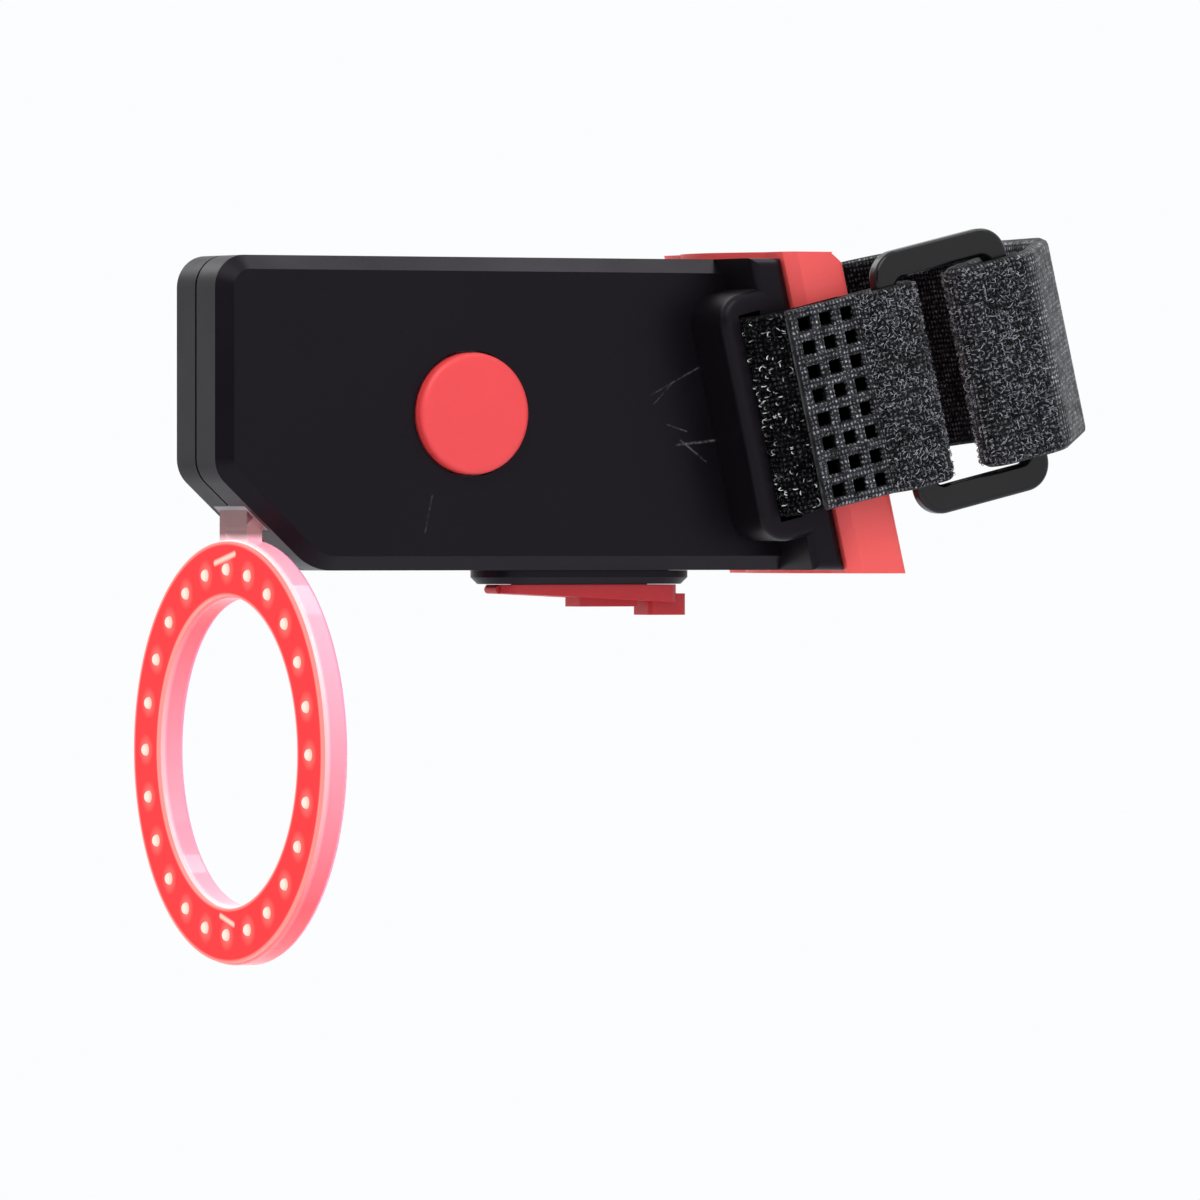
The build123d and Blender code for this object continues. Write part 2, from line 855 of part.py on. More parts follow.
body = shell_body()
pieces = {
    "near_shell": half(body, True),
    "far_shell": half(body, False),
    "shell_seal": shell_seal(),
    "light_guide": light_guide(),
    "ring_face": ring_face(),
    "guide_seal": guide_seal(),
    "power_button": power_button(),
    "button_seal": button_seal(),
    "switch_body": switch_body(),
    "switch_plunger": switch_plunger(),
    "circuit_board": circuit_board(),
    "controller_chip": controller_chip(),
    "charger_chip": charger_chip(),
    "board_components": board_components(),
    "led_board": led_board(),
    "leds": leds(),
    "battery_cell": battery_cell(),
    "battery_pad": battery_pad(),
    "battery_wires": battery_wires(),
    "led_wires": led_wires(),
    "port_bezel": port_bezel(),
    "usb_socket": usb_socket(),
    "usb_tongue": usb_tongue(),
    "usb_contacts": usb_contacts(),
    "port_plug": port_plug(),
    "post_pad": post_pad(),
    "strap": strap(),
    "strap_tab": strap_tab(),
    "strap_hook_patch": strap_hook_patch(),
    "buckle": buckle(),
    "housing_screws": housing_screws(),
}

os.makedirs("parts", exist_ok=True)
for name, solid in pieces.items():
    export_step(solid, os.path.join("parts", name + ".step"))
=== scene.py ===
"""Looks of a strap-on bike rear light: materials, hook-and-loop strap, lit ring, stage and camera."""
import math
import random

import bmesh
import bpy
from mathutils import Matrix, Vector


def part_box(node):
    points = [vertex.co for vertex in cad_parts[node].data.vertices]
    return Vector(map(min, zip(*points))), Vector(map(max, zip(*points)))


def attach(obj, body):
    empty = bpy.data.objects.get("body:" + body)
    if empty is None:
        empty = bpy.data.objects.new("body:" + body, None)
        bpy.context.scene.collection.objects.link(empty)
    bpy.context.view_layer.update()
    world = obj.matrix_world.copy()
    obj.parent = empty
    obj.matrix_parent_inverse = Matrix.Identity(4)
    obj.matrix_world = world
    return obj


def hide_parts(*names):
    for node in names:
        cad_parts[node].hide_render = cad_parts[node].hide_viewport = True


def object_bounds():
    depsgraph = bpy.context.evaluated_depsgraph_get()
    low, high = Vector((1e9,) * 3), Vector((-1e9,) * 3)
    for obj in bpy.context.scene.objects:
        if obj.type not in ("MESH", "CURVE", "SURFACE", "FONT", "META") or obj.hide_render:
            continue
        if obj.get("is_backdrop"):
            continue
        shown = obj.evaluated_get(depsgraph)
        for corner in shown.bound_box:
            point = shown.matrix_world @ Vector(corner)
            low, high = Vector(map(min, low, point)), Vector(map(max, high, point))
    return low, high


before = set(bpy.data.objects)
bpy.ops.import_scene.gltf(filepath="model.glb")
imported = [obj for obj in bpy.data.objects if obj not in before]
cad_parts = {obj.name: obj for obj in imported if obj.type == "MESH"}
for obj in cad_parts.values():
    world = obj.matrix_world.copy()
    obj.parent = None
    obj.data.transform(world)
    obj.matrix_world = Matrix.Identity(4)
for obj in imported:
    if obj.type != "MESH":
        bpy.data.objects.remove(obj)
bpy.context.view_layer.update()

bl_info = {
    "name": "Strap-on rear light",
    "version": (1, 0, 0),
    "blender": (4, 5, 0),
    "location": "View3D > Sidebar > Rear light",
    "description": "Dresses the packed parts of a bike rear light and sets a plain stage round it",
    "category": "Object",
}

MM = 0.001
LAMP_BODY = "lamp"

# Driving sizes of the strap's route, in millimetres, in the leaning frame of the seat post
POST_TILT = 13.3
POST_R = 12.7
STRAP_RISE = 3.6
STRAP_GAP = 0.05
SLOT_X = -16.05
STRAP_BEND_R = 1.6
STRAP_END = 8.2
NEAR_STRAP_Y = 13.05
TURN_R = 1.45
OVER_BUCKLE_Y = 16.1
STAND_OFF_X = 9.4
STAND_OFF_Y = 9.0
STAND_OFF_R = 3.0
OUTER_GAP = 0.4
TAIL_END = 5.0
LEAVE_ANGLE = 62.0
PATCH_ANGLE = 40.0
TAB_START = 14.2
TAB_SLOPE_START = 7.2
TAB_SLOPE_END = 5.8
TAB_FOLD = 1.8
TAB_FOLD_R = 1.2
TAB_SLOPE_R = 1.0
TAB_GAP = 0.05
BUCKLE_Y = 14.4
BUCKLE_THICK = 1.6
ROUTE_STEP = 0.3
TAB_STEP = 0.13
PATCH_STEP = 0.5
PATCH_MARGIN = 0.6

# Where the strap and the tab change their look, in millimetres along each route
SLOT_RUN_END = 9.8
HOOK_SPAN = (6.2, 9.4)
TURN_X = -1.5
TURN_RUN_IN = 3.0
WELD_END = 7.2
TAB_PILE_SPAN = (7.3, 14.2)
# Tone of the painted shade on the strap in the slot and on its face towards the post
SHADE_TONE = 0.2
# Paler tone: the tab's weld zone, and painted sheen on the strap's smooth outer run
PALE_WELD_AND_SHEEN_TONE = 1.7

# Thread loops and hooks: sizes in millimetres, hooks per square centimetre, random seeds
PILE_MARGIN = 0.3
PILE_SUNK = 0.05
PILE_RUN_IN = 1.0
HEIGHT_SHARES = (0.6, 1.1)
LOOP_SPANS = (0.24, 0.46)
LOOP_HEIGHT = 0.26
LOOP_WIRE = 0.030
HOOK_HEIGHT = 0.5
HOOK_WIRE = 0.055
HOOK_DENSITY = 520
HOOK_SEED = 11
STRAP_LOOP_SEED = 12
TAB_LOOP_SEED = 13
CM2 = 100

# The body's near face, and the ring and its lit dots, in millimetres
NEAR_FACE_Y = -5.0
RING_CENTRE_Z = -29.6
RING_R = 18.6
RING_HOLE_R = 13.45
DOT_COUNT = 24
DOT_CIRCLE_R = 15.95
DOT_R = 0.55
DOT_SIDES = 14
DOT_FIT = 0.98
# Each level of a dot's dome: its share of the radius, and its height over the face in millimetres
DOT_PROFILE = ((1.0, -0.18), (0.98, 0.05), (0.86, 0.2), (0.62, 0.31), (0.3, 0.37))

# The photograph's camera: degrees, metres and pixels, and the point it looks at in millimetres
CAMERA_TURN = 28.0
CAMERA_LIFT = 0.3
CAMERA_RANGE = 1.25
CAMERA_TARGET = (-21.5, 11.5, -16.47)
FOCAL_PX = 4660
WINDOW_PX = 400
SENSOR_MM = 36.0

# The stage, in metres
FLOOR_DROP = 0.25
FLOOR_HALF = 1.6
FLOOR_SEGMENTS = 8


class StrapSizes(bpy.types.PropertyGroup):
    """Sizes of the strap and its tab."""
    width: bpy.props.FloatProperty(
        name="Strap width", description="Width of the strap", default=18.0 * MM, unit="LENGTH")
    thick: bpy.props.FloatProperty(
        name="Strap thickness", description="Thickness of the long strap", default=1.5 * MM, unit="LENGTH")
    tab_thick: bpy.props.FloatProperty(
        name="Tab thickness", description="Thickness of the welded tab", default=0.9 * MM, unit="LENGTH")
    patch_thick: bpy.props.FloatProperty(
        name="Hook patch thickness", description="Thickness of the hook patch", default=0.3 * MM,
        unit="LENGTH")
    loops_per_cm: bpy.props.IntProperty(
        name="Loops per square centimetre", description="How many thread loops stand on the tape",
        default=2100, min=0)


class LampColours(bpy.types.PropertyGroup):
    """Colours that a user would change, as sRGB hex values."""
    body: bpy.props.StringProperty(name="Body", description="Colour of the black shells", default="0B090D")
    button: bpy.props.StringProperty(name="Button", description="Colour of the button", default="F4474A")
    pad: bpy.props.StringProperty(name="Saddle", description="Colour of the rubber saddle", default="FF5A58")
    plug: bpy.props.StringProperty(
        name="Port cover", description="Colour of the port cover", default="B41C25")
    ring: bpy.props.StringProperty(name="Lit ring", description="Colour of the lit ring", default="FF3036")
    dots: bpy.props.StringProperty(name="Lit dots", description="Colour of the light dots", default="FFF1E2")
    strap: bpy.props.StringProperty(name="Strap", description="Colour of the strap", default="0B0B0D")


def linear(hex_colour, alpha=1.0):
    """An sRGB hex colour as linear light."""
    parts = [int(hex_colour[i:i + 2], 16) / 255 for i in (0, 2, 4)]
    return tuple(c / 12.92 if c <= 0.04045 else ((c + 0.055) / 1.055) ** 2.4 for c in parts) + (alpha,)


def add(tree, kind, links=None, **settings):
    """Adds one shader node with its settings, and sets or links its sockets by name or number."""
    node = tree.nodes.new(kind)
    for key, value in settings.items():
        setattr(node, key, value)
    for key, value in (links or {}).items():
        socket = node.inputs[key]
        if isinstance(value, bpy.types.NodeSocket):
            tree.links.new(value, socket)
        else:
            socket.default_value = value
    return node


def per(size_mm):
    """Texture scale at which one feature is this many millimetres, on coordinates in metres."""
    return 1.0 / (size_mm * MM)


def bands(size_mm):
    """Wave texture scale at which one band repeats at this many millimetres."""
    return math.tau / 20 * per(size_mm)


def blank(name):
    """A new node material with nothing in it but its output."""
    made = bpy.data.materials.new(name)
    made.use_nodes = True
    made.node_tree.nodes.clear()
    return made, made.node_tree


def close(tree, shader):
    """Joins a shader to the material's output."""
    add(tree, "ShaderNodeOutputMaterial", {"Surface": shader})


def dress(made, *nodes):
    """Gives one material to CAD nodes."""
    for name in nodes:
        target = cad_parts[name]
        target.data.materials.clear()
        target.data.materials.append(made)


def moulded(name, base, roughness, grain_mm, grain_depth, mottle=0.12, specular=0.5, patch_mm=9.0,
            subsurface=0.0, coat=0.0):
    """A moulded plastic or rubber: even colour, a fine spark-eroded grain and slightly uneven gloss."""
    made, tree = blank(name)
    where = add(tree, "ShaderNodeTexCoord").outputs["Object"]
    cloud = add(tree, "ShaderNodeTexNoise", {"Vector": where, "Scale": per(patch_mm), "Detail": 4.0})
    colour = linear(base)
    lighter = tuple(min(1.0, c * (1 + mottle) + 0.002) for c in colour[:3]) + (1.0,)
    tint = add(tree, "ShaderNodeMix", {0: cloud.outputs[0], 6: colour, 7: lighter}, data_type="RGBA")
    gloss = add(tree, "ShaderNodeMapRange", {
        "Value": cloud.outputs[0], "From Min": 0.3, "From Max": 0.7,
        "To Min": roughness * 0.85, "To Max": roughness * 1.15})
    grain = add(tree, "ShaderNodeTexNoise", {"Vector": where, "Scale": per(grain_mm), "Detail": 3.0})
    bump = add(tree, "ShaderNodeBump", {
        "Height": grain.outputs[0], "Strength": 0.5, "Distance": grain_depth * MM})
    shader = add(tree, "ShaderNodeBsdfPrincipled", {
        "Base Color": tint.outputs[2], "Roughness": gloss.outputs[0], "Normal": bump.outputs[0],
        "Specular IOR Level": specular, "Subsurface Weight": subsurface, "Coat Weight": coat})
    shader.inputs["Subsurface Radius"].default_value = (1.2 * MM, 0.3 * MM, 0.2 * MM)
    shader.inputs["Subsurface Scale"].default_value = 1.0
    close(tree, shader.outputs[0])
    return made


def stroke(tree, where, start, end, half_width, strength, plane=(1.0, 0.0, 1.0)):
    """One line between two places on a face, in millimetres, as a 0 to 1 socket."""
    a, b = (Vector(p) * MM for p in (start, end))
    way = b - a
    flat = add(tree, "ShaderNodeVectorMath", {0: where, 1: plane}, operation="MULTIPLY")
    arm = add(tree, "ShaderNodeVectorMath", {0: flat.outputs[0], 1: a}, operation="SUBTRACT")
    along = add(tree, "ShaderNodeVectorMath", {
        0: arm.outputs[0], 1: way / way.length_squared}, operation="DOT_PRODUCT")
    held = add(tree, "ShaderNodeClamp", {"Value": along.outputs["Value"]})
    foot = add(tree, "ShaderNodeVectorMath", {
        0: way, "Scale": held.outputs[0]}, operation="SCALE")
    gap = add(tree, "ShaderNodeVectorMath", {
        0: arm.outputs[0], 1: foot.outputs[0]}, operation="DISTANCE")
    line = add(tree, "ShaderNodeMapRange", {
        "Value": gap.outputs["Value"], "From Min": 0.0, "From Max": half_width * MM,
        "To Min": strength, "To Max": 0.0})
    return line.outputs[0]


def scratched_abs(colours):
    """Moulded black ABS, spark-eroded: satin black with a fine grain, and a few rubbed lines by the head."""
    made = moulded("moulded_black_abs", colours.body, 0.36, 0.16, 0.010, specular=0.16)
    tree = made.node_tree
    shader = next(n for n in tree.nodes if n.type == "BSDF_PRINCIPLED")
    shader.inputs["Specular Tint"].default_value = (0.94, 0.80, 1.0, 1.0)
    base = shader.inputs["Base Color"].links[0].from_socket
    where = add(tree, "ShaderNodeTexCoord").outputs["Object"]
    rubbed = None
    for start, end, width, strength in (
            ((-25.2, 1.7), (-20.3, 4.2), 0.11, 0.45), ((-22.6, -2.7), (-18.9, -2.3), 0.15, 0.85),
            ((-22.2, -2.3), (-19.6, -4.2), 0.12, 0.6), ((-23.6, -0.9), (-21.6, -1.5), 0.10, 0.4),
            ((-46.9, -7.2), (-47.6, -10.4), 0.12, 0.25), ((-24.9, 0.9), (-23.2, 2.6), 0.09, 0.3)):
        line = stroke(tree, where, (start[0], 0, start[1]), (end[0], 0, end[1]), width, strength)
        if rubbed is None:
            rubbed = line
        else:
            rubbed = add(tree, "ShaderNodeMath", {0: rubbed, 1: line}, operation="MAXIMUM").outputs[0]
    broken = add(tree, "ShaderNodeTexNoise", {"Vector": where, "Scale": per(0.5), "Detail": 2.0})
    parts = add(tree, "ShaderNodeMapRange", {
        "Value": broken.outputs[0], "From Min": 0.42, "From Max": 0.6, "To Min": 0.15, "To Max": 1.0})
    split = add(tree, "ShaderNodeSeparateXYZ", {"Vector": where})
    on_face = add(tree, "ShaderNodeMath", {
        0: split.outputs[1], 1: NEAR_FACE_Y * MM, 2: 0.2 * MM}, operation="COMPARE")
    there = add(tree, "ShaderNodeMath", {0: rubbed, 1: on_face.outputs[0]}, operation="MULTIPLY")
    shown = add(tree, "ShaderNodeMath", {0: there.outputs[0], 1: parts.outputs[0]}, operation="MULTIPLY")
    pale = add(tree, "ShaderNodeMix", {
        0: shown.outputs[0], 6: base, 7: linear("7A767A")}, data_type="RGBA")
    tree.links.new(pale.outputs[2], shader.inputs["Base Color"])
    return made


def clear_acrylic(colours):
    """Injection-moulded clear acrylic, glassy, carrying red light: coral where the wall turns to its source,
    pale where it turns away, cream along both lit rims, lavender along the far edge, dull in the stem."""
    made, tree = blank("moulded_clear_acrylic")
    where = add(tree, "ShaderNodeTexCoord").outputs["Object"]
    flow = add(tree, "ShaderNodeTexNoise", {"Vector": where, "Scale": per(4.0), "Detail": 2.0})
    bump = add(tree, "ShaderNodeBump", {
        "Height": flow.outputs[0], "Strength": 0.25, "Distance": 0.05 * MM})
    split = add(tree, "ShaderNodeSeparateXYZ", {"Vector": where})
    radius, _ = ring_places(tree)
    low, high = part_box("ring_face")
    outside = add(tree, "ShaderNodeMapRange", {
        "Value": radius, "From Min": (DOT_CIRCLE_R - 0.5) * MM, "From Max": (DOT_CIRCLE_R + 0.5) * MM})
    up = add(tree, "ShaderNodeMapRange", {
        "Value": split.outputs[2], "From Min": (RING_CENTRE_Z - 13) * MM,
        "From Max": (RING_CENTRE_Z + 11) * MM})
    down = add(tree, "ShaderNodeMath", {0: 1.0, 1: up.outputs[0]}, operation="SUBTRACT")
    red_share = add(tree, "ShaderNodeMix", {0: outside.outputs[0], 2: up.outputs[0], 3: down.outputs[0]})
    wall = add(tree, "ShaderNodeMix", {
        0: red_share.outputs[0], 6: linear("F1B8C9"), 7: linear("F8484E")}, data_type="RGBA")
    far_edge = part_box("light_guide")[1][0]
    edge = add(tree, "ShaderNodeMapRange", {
        "Value": split.outputs[0], "From Min": far_edge - 0.42 * MM, "From Max": far_edge - 0.22 * MM,
        "To Min": 0.0, "To Max": 0.75})
    wall = add(tree, "ShaderNodeMix", {
        0: edge.outputs[0], 6: wall.outputs[2], 7: linear("A98CB4")}, data_type="RGBA")
    rim = add(tree, "ShaderNodeMapRange", {
        "Value": split.outputs[0], "From Min": high[0] + 0.22 * MM, "From Max": high[0] + 0.52 * MM,
        "To Min": 1.0, "To Max": 0.0})
    faded = add(tree, "ShaderNodeMapRange", {
        "Value": red_share.outputs[0], "To Min": 1.0, "To Max": 0.25})
    rim = add(tree, "ShaderNodeMath", {0: rim.outputs[0], 1: faded.outputs[0]}, operation="MULTIPLY")
    lit = add(tree, "ShaderNodeMix", {
        0: rim.outputs[0], 6: wall.outputs[2], 7: linear("FFEDE2")}, data_type="RGBA")
    in_stem = add(tree, "ShaderNodeMapRange", {
        "Value": split.outputs[2], "From Min": (RING_CENTRE_Z + RING_R - 0.3) * MM,
        "From Max": (RING_CENTRE_Z + RING_R + 0.5) * MM})
    glow = add(tree, "ShaderNodeMix", {
        0: in_stem.outputs[0], 6: lit.outputs[2], 7: linear("4A2426")}, data_type="RGBA")
    tint = add(tree, "ShaderNodeMix", {
        0: in_stem.outputs[0], 6: wall.outputs[2], 7: linear("A87A7C")}, data_type="RGBA")
    power = add(tree, "ShaderNodeMix", {0: rim.outputs[0], 2: 0.42, 3: 0.62})
    clear = add(tree, "ShaderNodeMix", {0: in_stem.outputs[0], 2: 0.55, 3: 0.80})
    shader = add(tree, "ShaderNodeBsdfPrincipled", {
        "Base Color": tint.outputs[2], "Roughness": 0.09, "IOR": 1.49,
        "Transmission Weight": clear.outputs[0], "Normal": bump.outputs[0],
        "Emission Color": glow.outputs[2], "Emission Strength": power.outputs[0]})
    close(tree, shader.outputs[0])
    return made


def ring_places(tree):
    """Distances from the ring's axis and from the nearest light dot, in metres, as two sockets."""
    where = add(tree, "ShaderNodeTexCoord").outputs["Object"]
    split = add(tree, "ShaderNodeSeparateXYZ", {"Vector": where})
    up = add(tree, "ShaderNodeMath", {0: split.outputs[2], 1: -RING_CENTRE_Z * MM}, operation="ADD")
    flat = add(tree, "ShaderNodeCombineXYZ", {"X": split.outputs[1], "Y": up.outputs[0], "Z": 0.0})
    radius = add(tree, "ShaderNodeVectorMath", {0: flat.outputs[0]}, operation="LENGTH")
    angle = add(tree, "ShaderNodeMath", {0: up.outputs[0], 1: split.outputs[1]}, operation="ARCTAN2")
    step = 2 * math.pi / DOT_COUNT
    turns = add(tree, "ShaderNodeMath", {0: angle.outputs[0], 1: step}, operation="DIVIDE")
    shifted = add(tree, "ShaderNodeMath", {0: turns.outputs[0], 1: 0.5}, operation="ADD")
    part = add(tree, "ShaderNodeMath", {0: shifted.outputs[0], 1: 1.0}, operation="FLOORED_MODULO")
    off = add(tree, "ShaderNodeMath", {0: part.outputs[0], 1: 0.5}, operation="SUBTRACT")
    across = add(tree, "ShaderNodeMath", {
        0: off.outputs[0], 1: step * DOT_CIRCLE_R * MM}, operation="MULTIPLY")
    out = add(tree, "ShaderNodeMath", {
        0: radius.outputs["Value"], 1: DOT_CIRCLE_R * MM}, operation="SUBTRACT")
    pair = add(tree, "ShaderNodeCombineXYZ", {"X": across.outputs[0], "Y": out.outputs[0], "Z": 0.0})
    dot = add(tree, "ShaderNodeVectorMath", {0: pair.outputs[0]}, operation="LENGTH")
    return radius.outputs["Value"], dot.outputs["Value"]


def lit_face(colours):
    """Red translucent film lit from inside: even red, paler round each dot, with a cream line at both rims
    and two painted highlights, short pale reflection streaks, above and below."""
    made, tree = blank("lit_red_film")
    radius, dot = ring_places(tree)
    halo = add(tree, "ShaderNodeMapRange", {
        "Value": dot, "From Min": 0.35 * MM, "From Max": 1.45 * MM, "To Min": 0.95, "To Max": 0.0})
    red = add(tree, "ShaderNodeMix", {
        0: halo.outputs[0], 6: linear(colours.ring), 7: linear("FF7A70")}, data_type="RGBA")
    outer = add(tree, "ShaderNodeMapRange", {
        "Value": radius, "From Min": (RING_R - 0.55) * MM, "From Max": (RING_R - 0.3) * MM,
        "To Min": 0.0, "To Max": 0.55})
    inner = add(tree, "ShaderNodeMapRange", {
        "Value": radius, "From Min": (RING_HOLE_R + 0.5) * MM, "From Max": (RING_HOLE_R + 0.25) * MM,
        "To Min": 0.0, "To Max": 0.6})
    rim = add(tree, "ShaderNodeMath", {0: outer.outputs[0], 1: inner.outputs[0]}, operation="MAXIMUM")
    colour = add(tree, "ShaderNodeMix", {
        0: rim.outputs[0], 6: red.outputs[2], 7: linear("FFC9BE")}, data_type="RGBA")
    where = add(tree, "ShaderNodeTexCoord").outputs["Object"]
    centre = RING_CENTRE_Z
    # Painted highlights: two short pale reflection streaks on the face, above and below the centre.
    upper_highlight = stroke(tree, where, (0, 2.3, centre + 16.5), (0, -1.5, centre + 17.3), 0.34, 1.3, (0, 1, 1))
    lower_highlight = stroke(tree, where, (0, 1.2, centre - 14.3), (0, -1.3, centre - 15.0), 0.32, 1.3, (0, 1, 1))
    painted_highlights = add(tree, "ShaderNodeMath", {0: upper_highlight, 1: lower_highlight}, operation="MAXIMUM")
    glint = add(tree, "ShaderNodeClamp", {"Value": painted_highlights.outputs[0]})
    colour = add(tree, "ShaderNodeMix", {
        0: glint.outputs[0], 6: colour.outputs[2], 7: linear("FFDCC8")}, data_type="RGBA")
    shader = add(tree, "ShaderNodeBsdfPrincipled", {
        "Base Color": linear("2A0304"), "Roughness": 0.3, "Emission Color": colour.outputs[2],
        "Emission Strength": 0.96, "Specular IOR Level": 0.08})
    close(tree, shader.outputs[0])
    return made


def lit_dot(colours):
    """Lit dimple of the acrylic: a small cream-white glow."""
    made, tree = blank("lit_dimple")
    _, dot = ring_places(tree)
    core = add(tree, "ShaderNodeMapRange", {
        "Value": dot, "From Min": 0.38 * MM, "From Max": 0.62 * MM, "To Min": 0.0, "To Max": 1.0})
    colour = add(tree, "ShaderNodeMix", {
        0: core.outputs[0], 6: linear(colours.dots), 7: linear("FFB8A8")}, data_type="RGBA")
    shader = add(tree, "ShaderNodeBsdfPrincipled", {
        "Base Color": linear("3A1A16"), "Roughness": 0.6, "Emission Color": colour.outputs[2],
        "Emission Strength": 1.0, "Specular IOR Level": 0.05})
    close(tree, shader.outputs[0])
    return made


def loop_nylon(colours):
    """Woven nylon tape: near-black thread on a 0.45 mm rib weave with painted glints, scaled by the
    tape's tone, which carries painted shade, painted sheen and a paler weld.
    """
    made, tree = blank("woven_loop_nylon")
    uv = add(tree, "ShaderNodeUVMap", uv_map="tape").outputs[0]
    where = add(tree, "ShaderNodeTexCoord").outputs["Object"]
    tone = add(tree, "ShaderNodeAttribute", attribute_name="tone").outputs["Fac"]
    rib = add(tree, "ShaderNodeTexWave", {
        "Vector": uv, "Scale": bands(0.45), "Distortion": 1.0, "Detail": 2.0},
        bands_direction="Y")
    pick = add(tree, "ShaderNodeTexWave", {
        "Vector": uv, "Scale": bands(0.35), "Distortion": 1.5, "Detail": 2.0},
        bands_direction="X")
    thread = add(tree, "ShaderNodeTexNoise", {"Vector": where, "Scale": per(0.24), "Detail": 4.0})
    glint = add(tree, "ShaderNodeMapRange", {
        "Value": thread.outputs[0], "From Min": 0.46, "From Max": 0.64, "To Min": 0.0, "To Max": 1.0})
    weave = add(tree, "ShaderNodeMath", {0: rib.outputs[0], 1: pick.outputs[0]}, operation="MULTIPLY")
    shine = add(tree, "ShaderNodeMath", {0: glint.outputs[0], 1: weave.outputs[0]}, operation="MULTIPLY")
    # Painted glints: pale thread colour where noise and weave meet, standing in for threads catching the
    # light.
    colour = add(tree, "ShaderNodeMix", {
        0: shine.outputs[0], 6: linear(colours.strap), 7: linear("B4B4BE")}, data_type="RGBA")
    patch = add(tree, "ShaderNodeTexNoise", {"Vector": where, "Scale": per(1.1), "Detail": 3.0})
    worn = add(tree, "ShaderNodeMapRange", {
        "Value": patch.outputs[0], "From Min": 0.35, "From Max": 0.65, "To Min": 0.55, "To Max": 1.4})
    # The tone from the tape carries painted shade and painted sheen; the noise adds a random unevenness.
    tone = add(tree, "ShaderNodeMath", {0: tone, 1: worn.outputs[0]}, operation="MULTIPLY").outputs[0]
    toned = add(tree, "ShaderNodeVectorMath", {0: colour.outputs[2], "Scale": tone}, operation="SCALE")
    skin = add(tree, "ShaderNodeMath", {0: tone, 1: 0.16}, operation="MULTIPLY")
    fuzz = add(tree, "ShaderNodeMath", {0: tone, 1: 0.10}, operation="MULTIPLY")
    height = add(tree, "ShaderNodeMath", {0: weave.outputs[0], 1: thread.outputs[0]}, operation="ADD")
    bump = add(tree, "ShaderNodeBump", {
        "Height": height.outputs[0], "Strength": 0.8, "Distance": 0.16 * MM})
    shader = add(tree, "ShaderNodeBsdfPrincipled", {
        "Base Color": toned.outputs[0], "Roughness": 0.62, "Normal": bump.outputs[0],
        "Sheen Weight": fuzz.outputs[0], "Sheen Roughness": 0.4, "Specular IOR Level": skin.outputs[0]})
    close(tree, shader.outputs[0])
    return made


def thread_nylon(name, dark, pale, bright_share, roughness):
    """Drawn nylon thread: most strands near black, a few that turn to the light pale and shiny."""
    made, tree = blank(name)
    own = add(tree, "ShaderNodeNewGeometry").outputs["Random Per Island"]
    bright = add(tree, "ShaderNodeMapRange", {
        "Value": own, "From Min": 1.0 - bright_share, "From Max": 1.0, "To Min": 0.0, "To Max": 1.0})
    colour = add(tree, "ShaderNodeMix", {
        0: bright.outputs[0], 6: linear(dark), 7: linear(pale)}, data_type="RGBA")
    shader = add(tree, "ShaderNodeBsdfPrincipled", {
        "Base Color": colour.outputs[2], "Roughness": roughness, "Specular IOR Level": 0.35})
    close(tree, shader.outputs[0])
    return made


def metal(name, base, roughness, grain_mm=0.3):
    """Plated metal with fine drawn lines."""
    made, tree = blank(name)
    where = add(tree, "ShaderNodeTexCoord").outputs["Object"]
    drawn = add(tree, "ShaderNodeMapping", {"Vector": where, "Scale": (1.0, 1.0, 12.0)})
    lines = add(tree, "ShaderNodeTexNoise", {"Vector": drawn.outputs[0], "Scale": per(grain_mm * 4)})
    gloss = add(tree, "ShaderNodeMapRange", {
        "Value": lines.outputs[0], "To Min": roughness * 0.8, "To Max": roughness * 1.3})
    shader = add(tree, "ShaderNodeBsdfPrincipled", {
        "Base Color": linear(base), "Metallic": 1.0, "Roughness": gloss.outputs[0]})
    close(tree, shader.outputs[0])
    return made


def post_point(d, y, u):
    """A point given in the seat post's frame in millimetres, as metres in the row's frame."""
    tilt = math.radians(POST_TILT)
    x = d * math.cos(tilt) - (u + STRAP_RISE) * math.sin(tilt)
    z = d * math.sin(tilt) + (u + STRAP_RISE) * math.cos(tilt)
    return Vector((x * MM, y * MM, z * MM))


def rounded_route(corners, radii):
    """A polyline's corners rounded by arcs, as a list of closely spaced points."""
    points = [Vector(corners[0])]
    for before, here, after, r in zip(corners, corners[1:], corners[2:], radii):
        a = (Vector(before) - Vector(here)).normalized()
        b = (Vector(after) - Vector(here)).normalized()
        half = a.angle(b) / 2
        reach = r / math.tan(half)
        start = Vector(here) + a * reach
        centre = Vector(here) + (a + b).normalized() * (r / math.sin(half))
        sweep = math.pi - 2 * half
        side = 1.0 if a.x * b.y - a.y * b.x < 0 else -1.0
        steps = max(4, int(sweep * r / 0.22))
        for k in range(steps + 1):
            turn = side * sweep * k / steps
            arm = start - centre
            arm = Vector((arm.x * math.cos(turn) - arm.y * math.sin(turn),
                          arm.x * math.sin(turn) + arm.y * math.cos(turn)))
            points.append(centre + arm)
    points.append(Vector(corners[-1]))
    return points


def arc(r, a0, a1):
    """Points on an arc about the post's axis, between two angles in degrees."""
    steps = max(2, int(abs(a1 - a0) / 1.2))
    angles = [math.radians(a0 + (a1 - a0) * k / steps) for k in range(steps + 1)]
    return [Vector((r * math.cos(a), r * math.sin(a))) for a in angles]


def evened(points, step):
    """The same route with points at even distances."""
    runs = [(b - a).length for a, b in zip(points, points[1:])]
    total = sum(runs)
    count = int(total / step)
    out = []
    place, k = 0.0, 0
    for n in range(count + 1):
        want = total * n / count
        while k < len(runs) - 1 and place + runs[k] < want:
            place += runs[k]
            k += 1
        share = (want - place) / runs[k] if runs[k] else 0.0
        out.append(points[k].lerp(points[k + 1], min(1.0, share)))
    return out


